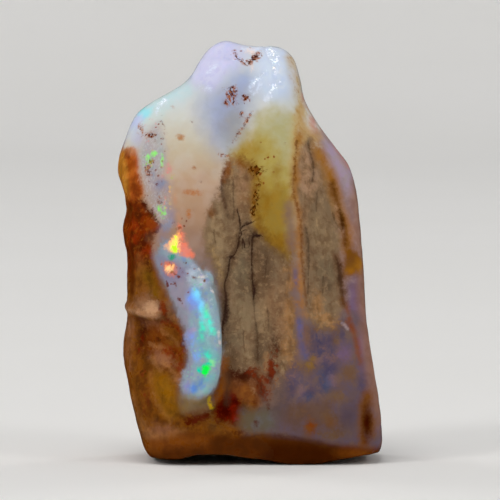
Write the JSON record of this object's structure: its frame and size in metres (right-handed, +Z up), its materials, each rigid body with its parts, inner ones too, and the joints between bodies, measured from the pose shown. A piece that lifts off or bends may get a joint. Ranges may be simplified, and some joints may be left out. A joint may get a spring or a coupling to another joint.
{
  "type": "fire opal",
  "caption": "Free-standing polished fire opal grown through wood, with play-of-colour on its face; stands on its worn foot.",
  "frame": {"origin": "under the middle of the stone's bounding box, on the surface that it stands on", "axes": "+Z up from the foot to the knobs at the top; the face with the fire looks towards -Y; +X is to the right of that face"},
  "size_m": [0.029, 0.0192, 0.046],
  "materials": {
    "opal": "polished natural opal: milky blue-white and lavender at the top, honey and ochre at the sides and foot, grey-brown wood inside, red and green fire in the left of the face"
  },
  "bodies": {
    "root": {"fire_opal": "opal"}
  },
  "joints": []
}
